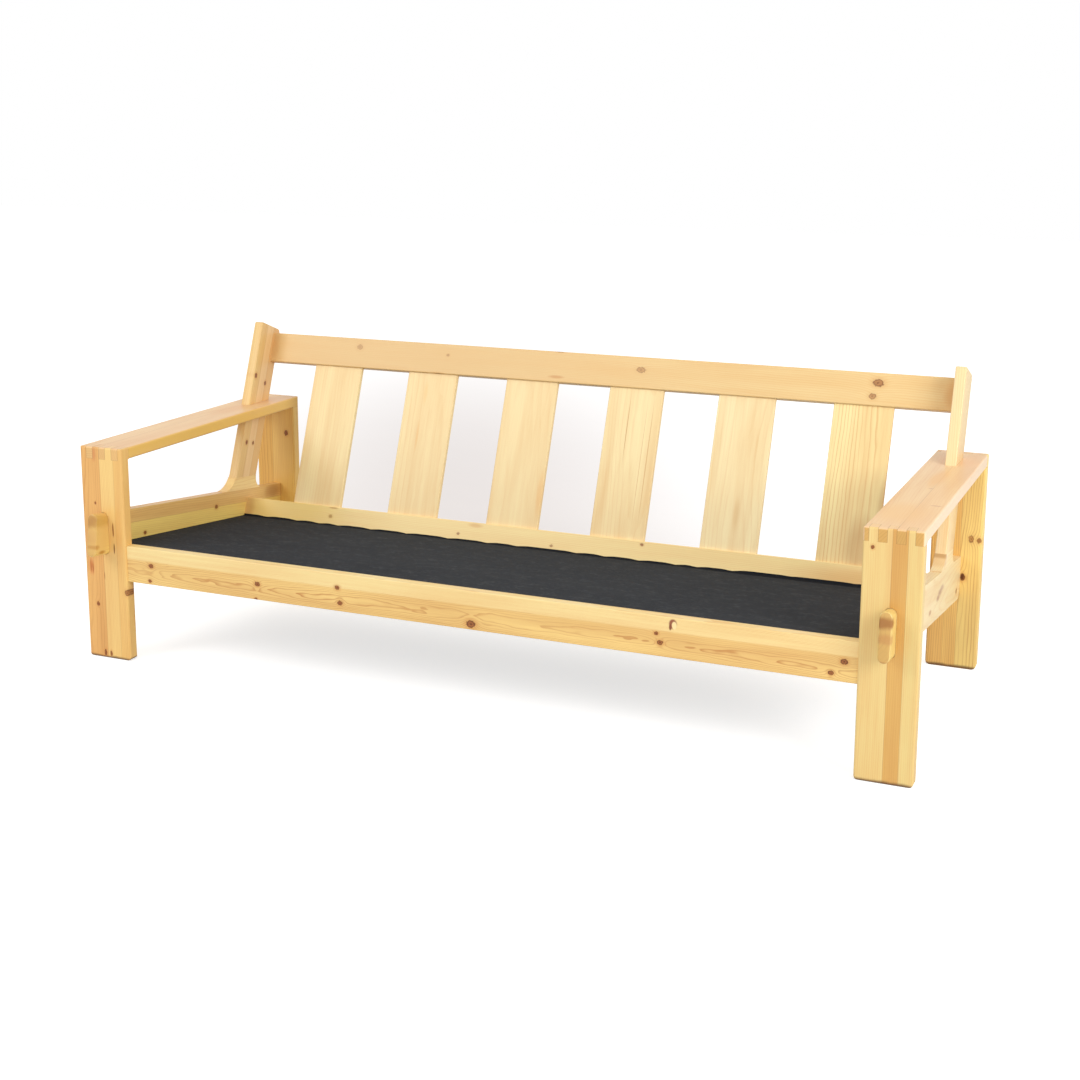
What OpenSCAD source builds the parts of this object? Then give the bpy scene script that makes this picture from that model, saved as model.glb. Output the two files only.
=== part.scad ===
// Three-seater sofa frame in pine, with a stretched seat cloth.
// Each arm is a board bent round by finger joints. An L-shaped side piece stands inside it,
// comes out through the front leg as a long tenon and leans back through the armrest.

/* [Overall] */
// Length over both arms
sofa_l = 2100; // [1700:10:2400]
// Depth from the front legs' front face to the rear legs' rear face
frame_d = 834; // [800:2:900]
// Height of the armrest's top
arm_h = 550; // [520:2:600]

/* [Arms] */
// Width of the leg and armrest boards
arm_w = 126; // [110:2:160]
// Thickness of the leg and armrest boards
board_t = 30; // [24:1:36]
// Width of a finger in the corner joints, counted from the arm's outer edge
finger_w = 19; // [14:0.5:25]
// Radius of the feet's outer corners
foot_r = 12; // [4:1:20]
// Radius of the eased edges of the arm boards
ease_r = 5; // [2:0.5:8]

/* [Side pieces] */
// Thickness of the side rails and back posts
side_t = 27; // [22:1:32]
// Height of the side rail, square to its slope
rail_h = 108; // [90:2:120]
// Height of the side rail's top line where it meets the plane of the legs' front face
rail_top_z = 383.5; // [360:0.5:400]
// Fall of the side rail towards the rear, in degrees
rail_slope = 6.6; // [4:0.2:9]
// How far the through tenon stands out in front of the leg, at its middle
tenon_out = 50; // [20:1:70]
// Radius of the side rail's lower rear corner
rail_corner_r = 25; // [10:1:35]
// Depth of the side rail's stub tenon in the rear leg
leg_stub_d = 15; // [8:1:20]
// Thickness of the side rail's stub tenon
leg_stub_t = 15; // [9:1:18]
// Shoulder above and below the side rail's stub tenon
leg_stub_shoulder = 20; // [10:1:30]

/* [Back posts] */
// Distance of the post's front edge from the rear legs' rear face, at the armrest's top
post_back = 184; // [164:2:224]
// Depth of the post from its front edge to its rear edge
post_d = 97; // [85:1:105]
// Lean of the post from upright, in degrees
post_lean = 20.6; // [16:0.2:24]
// Length of the post above the armrest's top, along its front edge
post_top = 243; // [236:1:300]
// Radius of the post's rear top corner
post_rear_r = 12; // [6:1:20]
// Radius of the post's front top corner
post_front_r = 5; // [2:1:8]
// Radius of the fillet in front of the post's foot
knee_front_r = 70; // [60:2:90]
// Radius of the fillet behind the post's foot
knee_rear_r = 30; // [24:2:50]
// Height of the strip glued on the rail under the post
knee_h = 36; // [26:1:40]
// Thickness left at the thin ends of the strip
knee_feather = 1; // [0.6:0.1:2]
// Diameter of the dowels through the strip
dowel_d = 10; // [8:1:12]
// Depth of each dowel in the rail and in the post
dowel_seat = 22; // [15:1:30]
// Distance between the two dowels of a foot
dowel_gap = 44; // [30:2:56]

/* [Back] */
// Thickness of the top and rear rails
back_rail_t = 27; // [22:1:30]
// Height of the top and rear rails
back_rail_h = 84; // [70:2:90]
// Height of the top rail's lower edge above the armrest, along the post
top_rail_u = 144; // [120:2:150]
// Height of the rear rail's upper edge above the seat, along the post
rear_rail_rise = 52; // [42:1:60]
// Width of a back slat
slat_w = 150; // [100:2:200]
// Thickness of a back slat
slat_t = 13; // [9:1:15]
// Depth of a slat's seat in each rail
slat_seat = 15; // [8:1:20]
// Depth of the back rails' stub tenons in the side pieces
back_stub_d = 12; // [8:1:16]
// Thickness of the back rails' stub tenons
back_stub_t = 13; // [9:1:15]
// Shoulder above and below the back rails' stub tenons
back_stub_shoulder = 12; // [8:1:20]

/* [Front rail] */
// Thickness of the front rail
front_rail_t = 27; // [22:1:29]
// Height of the front rail
front_rail_h = 92; // [80:1:110]
// Height of the front rail's underside above the floor
front_rail_z = 209; // [199:1:219]
// Setback of the front rail behind the legs' front face
front_rail_back = 5; // [0:0.5:8]
// Depth of the front rail's stub tenons in the legs
front_stub_d = 20; // [10:1:24]
// Thickness of the front rail's stub tenons
front_stub_t = 14; // [9:1:16]
// Shoulder above and below the front rail's stub tenons
front_stub_shoulder = 18; // [10:1:25]
// Radius of the eased edges of the rails and slats
rail_ease_r = 2.5; // [1:0.5:4]

/* [Seat] */
// Distance of the cloth's top below the front rail's top edge
cloth_drop = 1.5; // [0:0.5:8]
// Fall of the seat towards the rear, in degrees
seat_slope = 6; // [4:0.2:8]
// Thickness of the cloth
cloth_t = 1.6; // [1:0.1:3]
// Air between the cloth and the wood around it
cloth_gap = 0.3; // [0.2:0.1:0.6]
// Height of the cloth's turned-up rear edge
hem_h = 8; // [5:1:12]
// Rise of each scallop in the rear edge
scallop_rise = 3; // [1:0.5:4]
// Thickness of the front and rear battens
cleat_t = 27; // [22:1:35]
// Thickness of the side battens
side_cleat_t = 20; // [15:1:30]
// Height of the battens
cleat_h = 28; // [24:1:34]
// Width of the raised lip on the front and rear battens
cleat_lip = 7; // [5:1:9]

/* [Springs] */
// Number of zigzag springs
spring_count = 13; // [9:1:15]
// Diameter of the spring wire
wire_d = 3.6; // [3:0.1:4.2]
// Width of a spring over the middle of its turns
spring_w = 54; // [50:2:64]
// Distance between two bars of a spring, about
bar_pitch = 32; // [26:1:36]
// Distance of the end bars from the battens' inner edges
bar_inset = 8; // [6:0.5:9]
// Thickness of the clip strap
strap_t = 1.2; // [0.8:0.1:1.6]
// Width of the clip strap
strap_w = 14; // [10:1:16]
// Length of a clip's flat legs
strap_leg = 10; // [7:0.5:11]

/* [Fasteners] */
// Diameter of the screws' shanks
screw_d = 4.5; // [3.5:0.5:5]
// Diameter of the screws' heads
screw_head_d = 9; // [7:0.5:10]
// Depth of the screws in the rails behind the battens
screw_seat = 16; // [10:1:18]
// Screws in the front and in the rear batten
long_screws = 7; // [4:1:10]
// Screws in each side batten
side_screws = 4; // [2:1:6]

/* [Hidden] */
$fn = 48;
// Clearance round tenons, dowels and screws
joint_gap = 0.2;
// Reach of the helper shapes past the parts that they cut
past = 1;
// How far the post's slanted roundings run past the faces that they meet
bite = 0.02;
clear_w = sofa_l - 2 * arm_w;
finger_n = ceil(arm_w / finger_w);
leg_top_z = arm_h - board_t;
rear_leg_y = frame_d - board_t;
post_y = frame_d - post_back;
// Inner face of the side pieces, measured from the middle of the sofa
side_x = clear_w / 2 + (arm_w - side_t) / 2;
tenon_tip_y = tenon_out + rail_h / 2 * sin(rail_slope);
// Middle of the depth, taken from the tenons' tips to the rear legs
mid_y = (frame_d - tenon_tip_y) / 2;
back_v = post_d - back_rail_t;
slat_n = 6;
slat_gap = (2 * side_x - slat_n * slat_w) / (slat_n + 1);
cloth_y = front_rail_back + front_rail_t;
cloth_z = front_rail_z + front_rail_h - cloth_drop;
rail_ref = [0, rail_top_z];
seat_ref = [cloth_y + cloth_gap, cloth_z];
clip_h = wire_d + 2 * joint_gap + 2 * strap_t;
lip_c = -cloth_t - cloth_gap;
shelf_c = lip_c - clip_h;
cleat_c = lip_c - cleat_h;
bar_c = lip_c - clip_h / 2;
screw_c = (shelf_c + cleat_c) / 2;
cleat_v = back_v - cleat_t;
head_h = (screw_head_d - screw_d) / 2;

// Point that lies c above a line falling by s from ref, and v behind the post's front edge
function meet(ref, s, c, v) =
    let (k = v + post_y * cos(post_lean) - arm_h * sin(post_lean))
    let (m = c + ref[0] * sin(s) + ref[1] * cos(s))
    [k * cos(s) + m * sin(post_lean), m * cos(post_lean) - k * sin(s)] / cos(post_lean - s);
function knee_pt(c, v) = meet(rail_ref, rail_slope, c, v);
function seat_pt(c, v) = meet(seat_ref, seat_slope, c, v);
// Height at depth y of a line c above one that falls by s from ref
function fall_z(ref, s, y, c) = ref[1] - (y - ref[0]) * tan(s) + c / cos(s);
function seat_z(y, c) = fall_z(seat_ref, seat_slope, y, c);
// Distance of a point along the seat, from the cloth's front edge
function along_seat(p) =
    (p[0] - seat_ref[0]) * cos(seat_slope) - (p[1] - seat_ref[1]) * sin(seat_slope);
// Distance of a point along the side rail
function along_rail(p) = p[0] * cos(rail_slope) - (p[1] - rail_top_z) * sin(rail_slope);
// Point v behind the post's front edge and u above the armrest's top, along the post
function back_pt(v, u) =
    [post_y + v * cos(post_lean) + u * sin(post_lean), arm_h - v * sin(post_lean) + u * cos(post_lean)];
// Distance of a point along the post, from the armrest's top
function along_post(p) = (p[0] - post_y) * sin(post_lean) + (p[1] - arm_h) * cos(post_lean);
// Length of a fillet's arc foot that is thinner than the strip's thin end
function feather_run(r) = sqrt(2 * r * knee_feather - knee_feather * knee_feather);
// Place number i of n, spread evenly over a width about zero
function spread(i, n, w) = n < 2 ? 0 : -w / 2 + i * w / (n - 1);

slat_low_u = along_post(seat_pt(0, back_v)) + rear_rail_rise;
rear_rail_u = slat_low_u - back_rail_h;
bar_front = along_seat([cloth_y + cleat_t - bar_inset, seat_z(cloth_y + cleat_t - bar_inset, bar_c)]);
bar_rear = along_seat(seat_pt(bar_c, cleat_v + bar_inset));
bar_n = round((bar_rear - bar_front) / bar_pitch) + 1;
bar_step = (bar_rear - bar_front) / (bar_n - 1);
spring_step = 2 * (side_x - side_cleat_t) / spring_count;
scallop_step = 2 * (side_x - cloth_gap) / (spring_count + 1);

// Frames. Every piece is drawn from the legs' front face and then moved to the middle.

module centred() {
    translate([0, -mid_y, 0]) children();
}

module left_side() {
    mirror([1, 0, 0]) children();
}

// Right arm's corner: the inner edge of its boards
module at_arm() {
    translate([clear_w / 2, 0, 0]) children();
}

// A side view, drawn with depth across and height up, made w wide from x
module side_view(x, w) {
    translate([x, 0, 0]) rotate([90, 0, 90]) linear_extrude(w) children();
}

// The side rail's own frame: y along its top line, z square to it
module on_rail(x) {
    translate([x, 0, rail_top_z]) rotate([-rail_slope, 0, 0]) children();
}

// The back's frame: y behind the posts' front edge, z along the posts from the armrest's top
module on_back() {
    translate([0, post_y, arm_h]) rotate([-post_lean, 0, 0]) children();
}

// The seat's frame: y along the cloth from its front edge, z above its top
module on_seat() {
    translate([0, seat_ref[0], seat_ref[1]]) rotate([-seat_slope, 0, 0]) children();
}

// Flat outlines

module soft_rect(w, h, r) {
    translate([r, 0]) square([w - 2 * r, h]);
    translate([0, r]) square([w, h - 2 * r]);
    for (x = [r, w - r]) for (y = [r, h - r]) translate([x, y]) circle(r);
}

// What a rounded corner loses, with the corner at the origin and the piece in the +x +y quarter
module corner_loss(r, over = 0) {
    difference() {
        translate([-past, -past]) square(r + past);
        translate([r - over, r - over]) circle(r);
    }
}

module obround(w, h) {
    square([w, h - w], center = true);
    for (s = [-1, 1]) translate([0, s * (h - w) / 2]) circle(w / 2);
}

// Straight length of rounding along +z, for an edge with its piece in the +x +y quarter
module ease_bar(l, r) {
    linear_extrude(l) corner_loss(r);
}

// Band between two lines along the side rail
module rail_band(c0, c1) {
    translate([0, rail_top_z]) rotate(-rail_slope)
        translate([-frame_d, c0]) square([3 * frame_d, c1 - c0]);
}

// Arms

// Outer form of a whole arm, with rounded feet and eased outer edges
module arm_form() {
    intersection() {
        rotate([90, 0, 0]) translate([0, 0, -frame_d]) linear_extrude(frame_d) difference() {
            square([arm_w, arm_h]);
            corner_loss(foot_r);
            translate([arm_w, 0]) mirror([1, 0]) corner_loss(foot_r);
            translate([0, arm_h]) mirror([0, 1]) corner_loss(ease_r);
            translate([arm_w, arm_h]) rotate(180) corner_loss(ease_r);
        }
        linear_extrude(arm_h) soft_rect(arm_w, frame_d, ease_r);
        side_view(0, arm_w) soft_rect(frame_d, arm_h, ease_r);
    }
}

// Every other finger across a corner, counted from the outer edge. The innermost may be a part.
module fingers(y, first) {
    for (i = [first : 2 : finger_n - 1])
        translate([arm_w - (i + 1) * finger_w, y, leg_top_z]) cube([finger_w, board_t, board_t]);
}

// Leg board from depth y0. Its inner face is at inner_y, with the eased edges on its inward side.
module leg_board(y0, inner_y, inward, first) {
    difference() {
        intersection() {
            arm_form();
            union() {
                translate([0, y0, 0]) cube([arm_w, board_t, leg_top_z]);
                fingers(y0, first);
            }
        }
        translate([0, inner_y, 0]) mirror([0, inward, 0]) ease_bar(leg_top_z, ease_r);
        translate([arm_w, inner_y, 0]) mirror([0, inward, 0]) mirror([1, 0, 0])
            ease_bar(leg_top_z, ease_r);
    }
}

module front_leg(first) {
    at_arm() difference() {
        leg_board(0, board_t, 1, first);
        translate([-clear_w / 2, 0, 0]) front_tenon(joint_gap);
        translate([-clear_w / 2, 0, 0]) front_stub(joint_gap);
    }
}

module rear_leg(first) {
    difference() {
        at_arm() leg_board(rear_leg_y, rear_leg_y, 0, first);
        rear_stub(joint_gap);
    }
}

module armrest(front_first, rear_first) {
    difference() {
        at_arm() difference() {
            intersection() {
                arm_form();
                union() {
                    translate([0, board_t, leg_top_z]) cube([arm_w, rear_leg_y - board_t, board_t]);
                    fingers(0, front_first);
                    fingers(rear_leg_y, rear_first);
                }
            }
            translate([0, rear_leg_y, leg_top_z]) rotate([90, 0, 0])
                ease_bar(rear_leg_y - board_t, ease_r);
            translate([arm_w, rear_leg_y, leg_top_z]) mirror([1, 0, 0]) rotate([90, 0, 0])
                ease_bar(rear_leg_y - board_t, ease_r);
        }
        on_back() translate([side_x - joint_gap, -joint_gap, -2 * board_t])
            cube([side_t + 2 * joint_gap, post_d + 2 * joint_gap, 4 * board_t]);
    }
}

// The two arms are alike and turned end for end, so their front corners start differently

module left_front_leg() {
    color("burlywood") centred() left_side() front_leg(0);
}

module right_front_leg() {
    color("burlywood") centred() front_leg(1);
}

module left_rear_leg() {
    color("burlywood") centred() left_side() rear_leg(1);
}

module right_rear_leg() {
    color("burlywood") centred() rear_leg(0);
}

module left_armrest() {
    color("sandybrown") centred() left_side() armrest(1, 0);
}

module right_armrest() {
    color("sandybrown") centred() armrest(0, 1);
}

// Side pieces

// Long tenon with round ends, through the front leg
module front_tenon(g) {
    end = (rail_h / 2 * sin(rail_slope) - tenon_out) / cos(rail_slope);
    on_rail(side_x + side_t / 2) translate([0, end, -rail_h / 2]) rotate([-90, 0, 0])
        linear_extrude(2 * board_t - end) obround(side_t + 2 * g, rail_h + 2 * g);
}

// Stub tenon in the rear leg
module rear_stub(g) {
    side_view(side_x + (side_t - leg_stub_t) / 2 - g, leg_stub_t + 2 * g) intersection() {
        rail_band(leg_stub_shoulder - rail_h - g, g - leg_stub_shoulder);
        translate([rear_leg_y, 0]) square([leg_stub_d + g, arm_h]);
    }
}

module side_rail() {
    // Centre of the lower rear corner's rounding, then its tangent point and the sharp corner
    cy = rear_leg_y - rail_corner_r;
    cz = fall_z(rail_ref, rail_slope, cy, rail_corner_r - rail_h);
    difference() {
        union() {
            side_view(side_x, side_t) difference() {
                intersection() {
                    rail_band(-rail_h, 0);
                    translate([board_t, 0]) square([rear_leg_y - board_t, arm_h]);
                }
                difference() {
                    polygon([[cy, cz],
                        [rear_leg_y + past, cz],
                        [rear_leg_y + past, cz - 2 * rail_corner_r],
                        [cy - 2 * rail_corner_r * sin(rail_slope),
                            cz - 2 * rail_corner_r * cos(rail_slope)]]);
                    translate([cy, cz]) circle(rail_corner_r);
                }
            }
            front_tenon(0);
            rear_stub(0);
        }
        back_stubs(rear_rail_u, joint_gap);
        dowels(joint_gap);
        side_screws_at(joint_gap);
    }
}

// Side view of the post and its foot, above the rail's top line
module post_outline() {
    front = knee_pt(knee_front_r, bite - knee_front_r);
    rear = knee_pt(knee_rear_r, post_d + knee_rear_r - bite);
    along = [cos(rail_slope), -sin(rail_slope)];
    up = [sin(rail_slope), cos(rail_slope)];
    aft = [cos(post_lean), -sin(post_lean)];
    // The arcs stop where the strip is knee_feather thick
    front_toe = front - up * knee_front_r + along * feather_run(knee_front_r);
    rear_toe = rear - up * knee_rear_r - along * feather_run(knee_rear_r);
    difference() {
        polygon([front_toe, front_toe + up * knee_front_r, front,
            front + aft * (knee_front_r - bite), back_pt(0, post_top),
            back_pt(post_d, post_top), rear - aft * (knee_rear_r - bite), rear,
            rear_toe + up * knee_rear_r, rear_toe]);
        translate(front) circle(knee_front_r);
        translate(rear) circle(knee_rear_r);
        translate(back_pt(0, post_top)) rotate(-post_lean) mirror([0, 1])
            corner_loss(post_front_r, bite);
        translate(back_pt(post_d, post_top)) rotate(180 - post_lean)
            corner_loss(post_rear_r, bite);
    }
}

module knee_block() {
    difference() {
        side_view(side_x, side_t) intersection() {
            post_outline();
            rail_band(0, knee_h);
        }
        dowels(joint_gap);
    }
}

module back_post() {
    difference() {
        side_view(side_x, side_t) intersection() {
            post_outline();
            rail_band(knee_h, 2 * arm_h);
        }
        back_stubs(top_rail_u, joint_gap);
        dowels(joint_gap);
    }
}

// Dowels from the rail through the strip into the post
module dowels(g) {
    mid = along_rail(knee_pt(knee_h, post_d / 2));
    for (s = [-1, 1])
        on_rail(side_x + side_t / 2) translate([0, mid + s * dowel_gap / 2, -dowel_seat - g])
            cylinder(d = dowel_d + 2 * g, h = knee_h + 2 * dowel_seat + 2 * g);
}

module left_side_rail() {
    color("navajowhite") centred() left_side() side_rail();
}

module right_side_rail() {
    color("navajowhite") centred() side_rail();
}

module left_knee_block() {
    color("wheat") centred() left_side() knee_block();
}

module right_knee_block() {
    color("wheat") centred() knee_block();
}

module left_back_post() {
    color("navajowhite") centred() left_side() back_post();
}

module right_back_post() {
    color("navajowhite") centred() back_post();
}

module post_dowels() {
    color("tan") centred() {
        dowels(0);
        left_side() dowels(0);
    }
}

// Back

// Stub tenons at both ends of a back rail whose lower edge is at u
module back_stubs(u, g) {
    on_back() for (s = [0, 1]) mirror([s, 0, 0])
        translate([side_x, back_v + (back_rail_t - back_stub_t) / 2 - g, u + back_stub_shoulder - g])
            cube([back_stub_d + g, back_stub_t + 2 * g, back_rail_h - 2 * back_stub_shoulder + 2 * g]);
}

module back_rail(u) {
    on_back() translate([-side_x, back_v, u]) rotate([90, 0, 90])
        linear_extrude(2 * side_x) soft_rect(back_rail_t, back_rail_h, rail_ease_r);
    back_stubs(u, 0);
}

function slat_x(i) = -side_x + i * slat_gap + (i - 1) * slat_w;

// Back slat number i from the left, with its ends in the rails
module slat(i) {
    color("khaki") centred() on_back()
        translate([slat_x(i), back_v + (back_rail_t - slat_t) / 2, slat_low_u - slat_seat])
            linear_extrude(top_rail_u - slat_low_u + 2 * slat_seat)
                soft_rect(slat_w, slat_t, rail_ease_r);
}

// Seats for the slats' ends
module slat_seats(u, depth) {
    on_back() for (i = [1 : slat_n])
        translate([slat_x(i) - joint_gap, back_v + (back_rail_t - slat_t) / 2 - joint_gap, u])
            cube([slat_w + 2 * joint_gap, slat_t + 2 * joint_gap, depth]);
}

module top_rail() {
    color("burlywood") centred() difference() {
        back_rail(top_rail_u);
        slat_seats(top_rail_u - past, slat_seat + joint_gap + past);
    }
}

module rear_rail() {
    color("burlywood") centred() difference() {
        back_rail(rear_rail_u);
        slat_seats(slat_low_u - slat_seat - joint_gap, slat_seat + joint_gap + past);
        rear_screws_at(joint_gap);
    }
}

// Front rail

// Stub tenons at both ends of the front rail
module front_stub(g) {
    for (s = [0, 1]) mirror([s, 0, 0])
        translate([clear_w / 2, front_rail_back + (front_rail_t - front_stub_t) / 2 - g,
            front_rail_z + front_stub_shoulder - g])
            cube([front_stub_d + g, front_stub_t + 2 * g,
                front_rail_h - 2 * front_stub_shoulder + 2 * g]);
}

module front_rail() {
    color("burlywood") centred() difference() {
        union() {
            translate([-clear_w / 2, front_rail_back, front_rail_z]) rotate([90, 0, 90])
                linear_extrude(clear_w) soft_rect(front_rail_t, front_rail_h, rail_ease_r);
            front_stub(0);
        }
        front_screws_at(joint_gap);
    }
}

// Seat

// Side view of the cloth, turned up against the rear rail
module cloth_outline() {
    v = back_v - cloth_gap;
    inner = seat_pt(0, v - cloth_t);
    rise = [sin(post_lean), cos(post_lean)] * hem_h;
    polygon([[seat_ref[0], seat_ref[1]], inner, inner + rise, seat_pt(0, v) + rise,
        seat_pt(-cloth_t, v), [seat_ref[0], seat_z(seat_ref[0], -cloth_t)]]);
}

// What the scallops take from the cloth's rear edge
module scallop_loss() {
    half = scallop_step / 2;
    arc_r = (half * half + scallop_rise * scallop_rise) / (2 * scallop_rise);
    u = along_post(seat_pt(0, back_v - cloth_gap)) + hem_h;
    on_back() for (i = [0 : spring_count])
        translate([spread(i, spring_count + 1, spring_count * scallop_step), back_v, u])
            rotate([90, 0, 0]) linear_extrude(4 * cloth_t) difference() {
                translate([-half, -scallop_rise]) square([2 * half, 3 * scallop_rise]);
                translate([0, -arc_r]) circle(arc_r, $fn = 720);
            }
}

module seat_cloth() {
    color("dimgray") centred() difference() {
        side_view(cloth_gap - side_x, 2 * (side_x - cloth_gap)) cloth_outline();
        scallop_loss();
    }
}

module front_cleat() {
    y0 = cloth_y;
    y1 = cloth_y + cleat_lip;
    y2 = cloth_y + cleat_t;
    color("tan") centred() difference() {
        side_view(-side_x, 2 * side_x)
            polygon([[y0, seat_z(y0, lip_c)], [y1, seat_z(y1, lip_c)], [y1, seat_z(y1, shelf_c)],
                [y2, seat_z(y2, shelf_c)], [y2, seat_z(y2, cleat_c)], [y0, seat_z(y0, cleat_c)]]);
        front_screws_at(joint_gap);
    }
}

module rear_cleat() {
    v1 = back_v - cleat_lip;
    color("tan") centred() difference() {
        side_view(-side_x, 2 * side_x)
            polygon([seat_pt(lip_c, back_v), seat_pt(lip_c, v1), seat_pt(shelf_c, v1),
                seat_pt(shelf_c, cleat_v), seat_pt(cleat_c, cleat_v), seat_pt(cleat_c, back_v)]);
        rear_screws_at(joint_gap);
    }
}

module side_cleat() {
    y = cloth_y + cleat_t;
    difference() {
        side_view(side_x - side_cleat_t, side_cleat_t)
            polygon([[y, seat_z(y, lip_c)], seat_pt(lip_c, cleat_v), seat_pt(cleat_c, cleat_v),
                [y, seat_z(y, cleat_c)]]);
        side_screws_at(joint_gap);
    }
}

module left_side_cleat() {
    color("tan") centred() left_side() side_cleat();
}

module right_side_cleat() {
    color("tan") centred() side_cleat();
}

// Springs

// Piece number k of a zigzag spring that starts at the origin with its bars along x: the even
// pieces are the bars, and the odd ones the half turns between them
module wire_piece(k) {
    straight = spring_w - bar_step;
    if (k % 2 == 0)
        translate([straight / 2, k / 2 * bar_step, 0]) rotate([0, -90, 0])
            cylinder(d = wire_d, h = straight);
    else
        translate([(k % 4 == 1 ? 1 : -1) * straight / 2, k / 2 * bar_step, 0])
            rotate([0, 0, k % 4 == 1 ? -90 : 90]) rotate_extrude(angle = 180)
                translate([bar_step / 2, 0]) rotate(90) circle(wire_d / 2);
}

module seat_springs() {
    color("silver") centred() on_seat()
        for (i = [0 : spring_count - 1], k = [0 : 2 * bar_n - 2])
            translate([spread(i, spring_count, (spring_count - 1) * spring_step), bar_front, bar_c])
                wire_piece(k);
}

// Folded strap round an end bar, with its flat legs towards -y
module clip() {
    inner_r = wire_d / 2 + joint_gap;
    outer_r = inner_r + strap_t;
    translate([-strap_w / 2, 0, 0]) rotate([90, 0, 90]) linear_extrude(strap_w) {
        intersection() {
            difference() {
                circle(outer_r);
                circle(inner_r);
            }
            translate([0, -outer_r]) square([outer_r, 2 * outer_r]);
        }
        translate([-strap_leg, inner_r]) square([strap_leg, strap_t]);
        translate([-strap_leg, -outer_r]) square([strap_leg, strap_t]);
    }
}

module spring_clips() {
    color("gray") centred() on_seat() for (i = [0 : spring_count - 1])
        translate([spread(i, spring_count, (spring_count - 1) * spring_step), 0, bar_c]) {
            translate([0, bar_front, 0]) clip();
            translate([0, bar_rear, 0]) mirror([0, 1, 0]) clip();
        }
}

// Screws

// Countersunk screw with its head's face at the origin, pointing down
module screw(l, g) {
    translate([0, 0, -l - g]) cylinder(d = screw_d + 2 * g, h = l + g);
    translate([0, 0, -head_h]) cylinder(d1 = screw_d + 2 * g, d2 = screw_head_d + 2 * g, h = head_h);
}

module front_screws_at(g) {
    y = cloth_y + cleat_t;
    for (i = [0 : long_screws - 1])
        translate([spread(i, long_screws, 2 * side_x * (1 - 1 / long_screws)), y, seat_z(y, screw_c)])
            rotate([-90, 0, 0]) screw(cleat_t + screw_seat, g);
}

module rear_screws_at(g) {
    p = seat_pt(screw_c, cleat_v);
    for (i = [0 : long_screws - 1])
        translate([spread(i, long_screws, 2 * side_x * (1 - 1 / long_screws)), p[0], p[1]])
            rotate([90 - post_lean, 0, 0]) screw(cleat_t + screw_seat, g);
}

module side_screws_at(g) {
    y0 = cloth_y + cleat_t;
    y1 = seat_pt(screw_c, cleat_v)[0];
    for (i = [0 : side_screws - 1]) {
        y = y0 + (y1 - y0) * (i + 0.5) / side_screws;
        translate([side_x - side_cleat_t, y, seat_z(y, (lip_c + cleat_c) / 2)])
            rotate([0, -90, 0]) screw(side_cleat_t + screw_seat, g);
    }
}

module cleat_screws() {
    color("silver") centred() {
        front_screws_at(0);
        rear_screws_at(0);
        side_screws_at(0);
        left_side() side_screws_at(0);
    }
}

left_front_leg();
right_front_leg();
left_rear_leg();
right_rear_leg();
left_armrest();
right_armrest();
left_side_rail();
right_side_rail();
left_knee_block();
right_knee_block();
left_back_post();
right_back_post();
front_rail();
rear_rail();
top_rail();
slat(1);  // slat_1
slat(2);  // slat_2
slat(3);  // slat_3
slat(4);  // slat_4
slat(5);  // slat_5
slat(6);  // slat_6
seat_cloth();
front_cleat();
rear_cleat();
left_side_cleat();
right_side_cleat();
seat_springs();
spring_clips();
cleat_screws();
post_dowels();
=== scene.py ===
# Finishes, seat cloth and studio for the bare pine sofa frame.
from math import acos, cos, pi, radians, sin, tan

import bmesh
import bpy
from mathutils import Matrix, Vector


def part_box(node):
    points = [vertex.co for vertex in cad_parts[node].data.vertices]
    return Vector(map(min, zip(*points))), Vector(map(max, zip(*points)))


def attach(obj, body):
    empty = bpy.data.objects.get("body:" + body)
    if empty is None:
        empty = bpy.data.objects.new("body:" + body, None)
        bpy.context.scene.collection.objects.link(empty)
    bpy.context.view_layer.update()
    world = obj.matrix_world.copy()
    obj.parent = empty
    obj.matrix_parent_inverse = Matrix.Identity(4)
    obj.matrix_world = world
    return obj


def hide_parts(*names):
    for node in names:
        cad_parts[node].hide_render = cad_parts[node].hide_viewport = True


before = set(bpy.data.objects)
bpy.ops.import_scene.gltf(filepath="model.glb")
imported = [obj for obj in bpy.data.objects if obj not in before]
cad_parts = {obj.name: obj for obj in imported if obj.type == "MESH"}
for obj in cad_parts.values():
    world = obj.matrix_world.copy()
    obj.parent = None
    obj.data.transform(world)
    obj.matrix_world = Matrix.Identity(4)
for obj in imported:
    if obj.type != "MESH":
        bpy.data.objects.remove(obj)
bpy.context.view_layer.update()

X, Y, Z = Vector((1, 0, 0)), Vector((0, 1, 0)), Vector((0, 0, 1))

# Sizes repeated from the part's source, in metres. The sofa's middle is at x = 0, and the front
# legs' front face at y = -MID_Y.
MID_Y = 0.3888967
# The arms: their middle, half their width, the boards' thickness, the armrest's top, the width of
# a finger and the height where the legs' fingers start
ARM_MID, ARM_HALF, BOARD_T, ARM_H, FINGER = 0.987, 0.063, 0.030, 0.550, 0.019
LEG_SHOULDER = ARM_H - BOARD_T
# The faces of the front and rear legs that look at each other, and the legs' middles
FRONT_LEG, REAR_LEG = BOARD_T - MID_Y, 0.4151
FRONT_MID, REAR_MID = FRONT_LEG - BOARD_T / 2, REAR_LEG + BOARD_T / 2
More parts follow.
